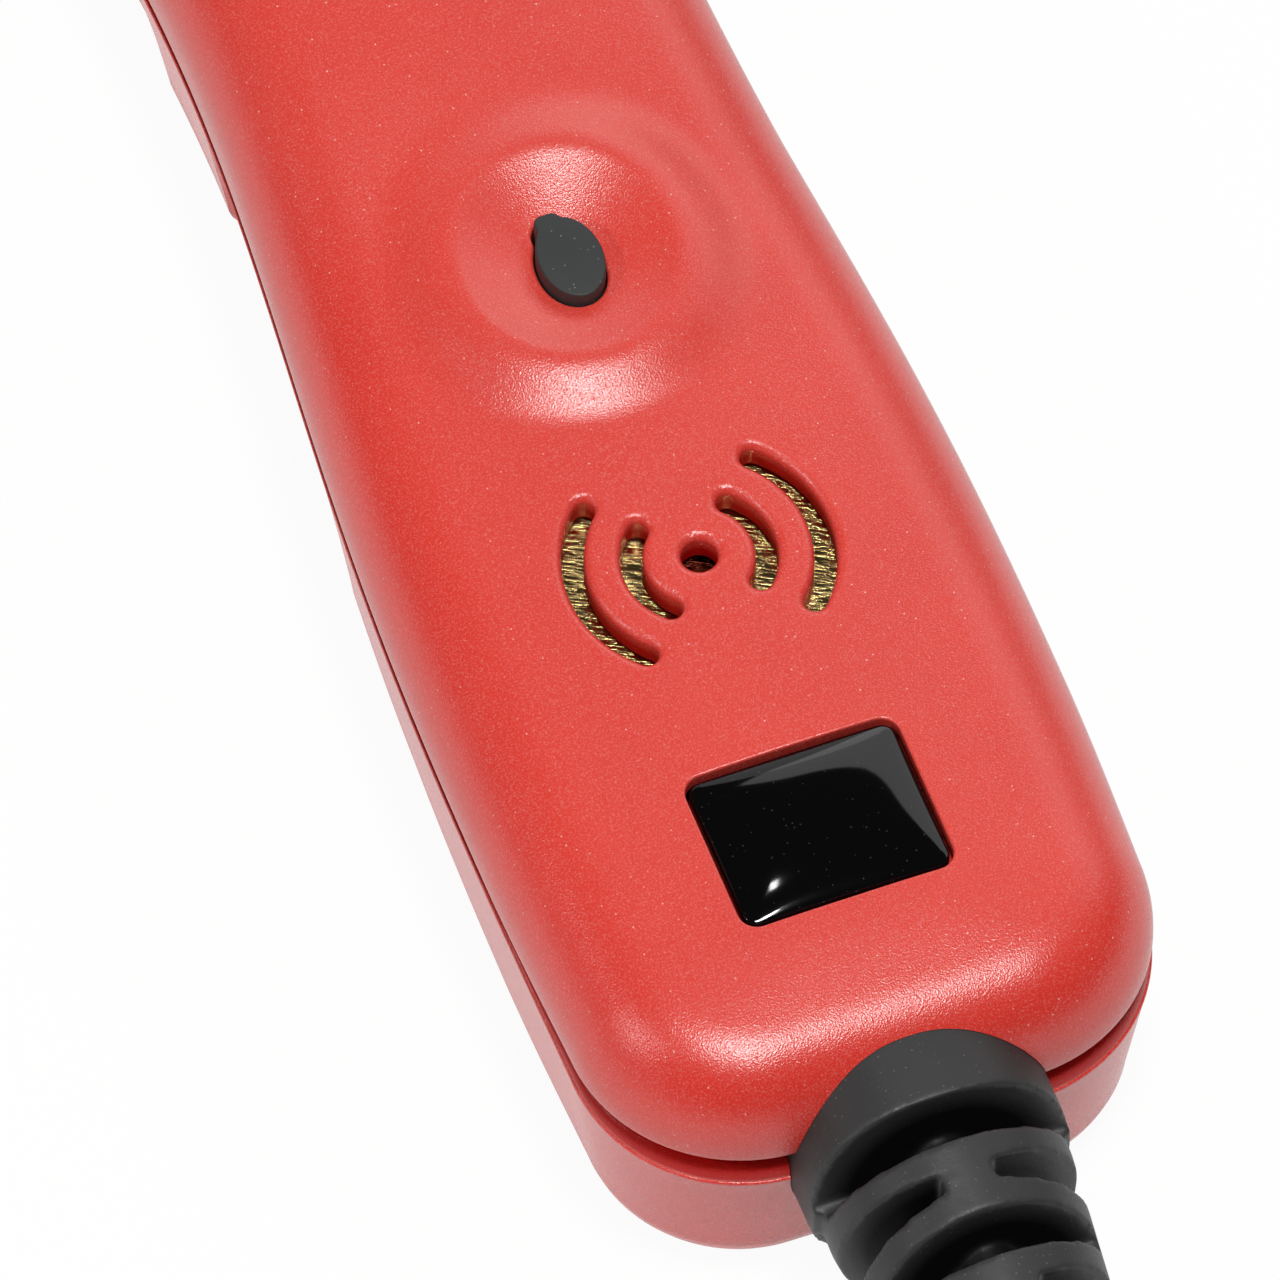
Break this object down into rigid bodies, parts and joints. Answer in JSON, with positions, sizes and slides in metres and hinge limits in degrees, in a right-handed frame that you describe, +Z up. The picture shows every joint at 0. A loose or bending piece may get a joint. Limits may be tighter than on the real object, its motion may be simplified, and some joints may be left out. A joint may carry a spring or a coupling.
{
  "type": "circuit tester",
  "caption": "Hand-held circuit tester: two-part moulded housing with probe tip, rocker, indicator, dished reset button, sounder slots, badge and slotted strain relief.",
  "frame": {"origin": "middle of the whole object's footprint, on the plane of the flat underside that it rests on", "axes": "+Z up out of the top face, +Y along the housing to the probe tip, +X across the housing to the right"},
  "size_m": [0.0468, 0.275, 0.0325],
  "materials": {
    "housing_red": "satin moulded plastic with a fine spark-eroded grain",
    "relief_rubber": "matt moulded rubber",
    "badge_black": "glossy domed label",
    "button_black": "satin black moulded plastic",
    "rocker_black": "satin black moulded plastic",
    "spring_steel": "drawn wire",
    "pin_steel": "ground",
    "screw_steel": "zinc plated",
    "tip_steel": "turned and ground",
    "disc_brass": "rolled sheet with fine scratches",
    "terminal_brass": "pressed and turned",
    "sounder_ceramic": "silvered",
    "component_black": "matt moulded plastic",
    "resistor_tan": "lacquered",
    "board_green": "solder mask",
    "led_resin": "clear cast resin",
    "lens_clear": "polished, water clear to milky"
  },
  "bodies": {
    "housing": {"upper_moulding": "housing_red", "lower_moulding": "housing_red", "strain_relief": "relief_rubber", "badge": "badge_black", "breaker_spring": "spring_steel", "breaker_body": "component_black", "breaker_terminals": "terminal_brass", "sounder_disc": "disc_brass", "sounder_ceramic": "sounder_ceramic", "sounder_ring": "component_black", "rocker_pin": "pin_steel", "rocker_frame": "rocker_black", "rocker_contacts": "terminal_brass", "indicator_lens": "lens_clear", "indicator_led": "led_resin", "circuit_board": "board_green", "polarity_relay": "component_black", "control_chip": "component_black", "power_resistors": "resistor_tan", "tip_strap": "terminal_brass", "probe_socket": "terminal_brass", "probe_collar": "button_black", "probe_tip": "tip_steel", "case_screws": "screw_steel"},
    "button": {"reset_button": "button_black"},
    "rocker": {"rocker_cap": "rocker_black"}
  },
  "joints": [
    {"name": "reset_press", "type": "slide", "parent": "housing", "child": "button", "axis": [0, 0, 1], "range_m": [-0.0011, 0], "stiffness_N_per_m": 2500, "deforming": ["breaker_spring"]},
    {"name": "rocker_tip", "type": "hinge", "parent": "housing", "child": "rocker", "pos_m": [0, 0.0305, 0.0293], "axis": [1, 0, 0], "range_deg": [-7, 7], "stiffness_Nm_per_rad": 0.17}
  ]
}
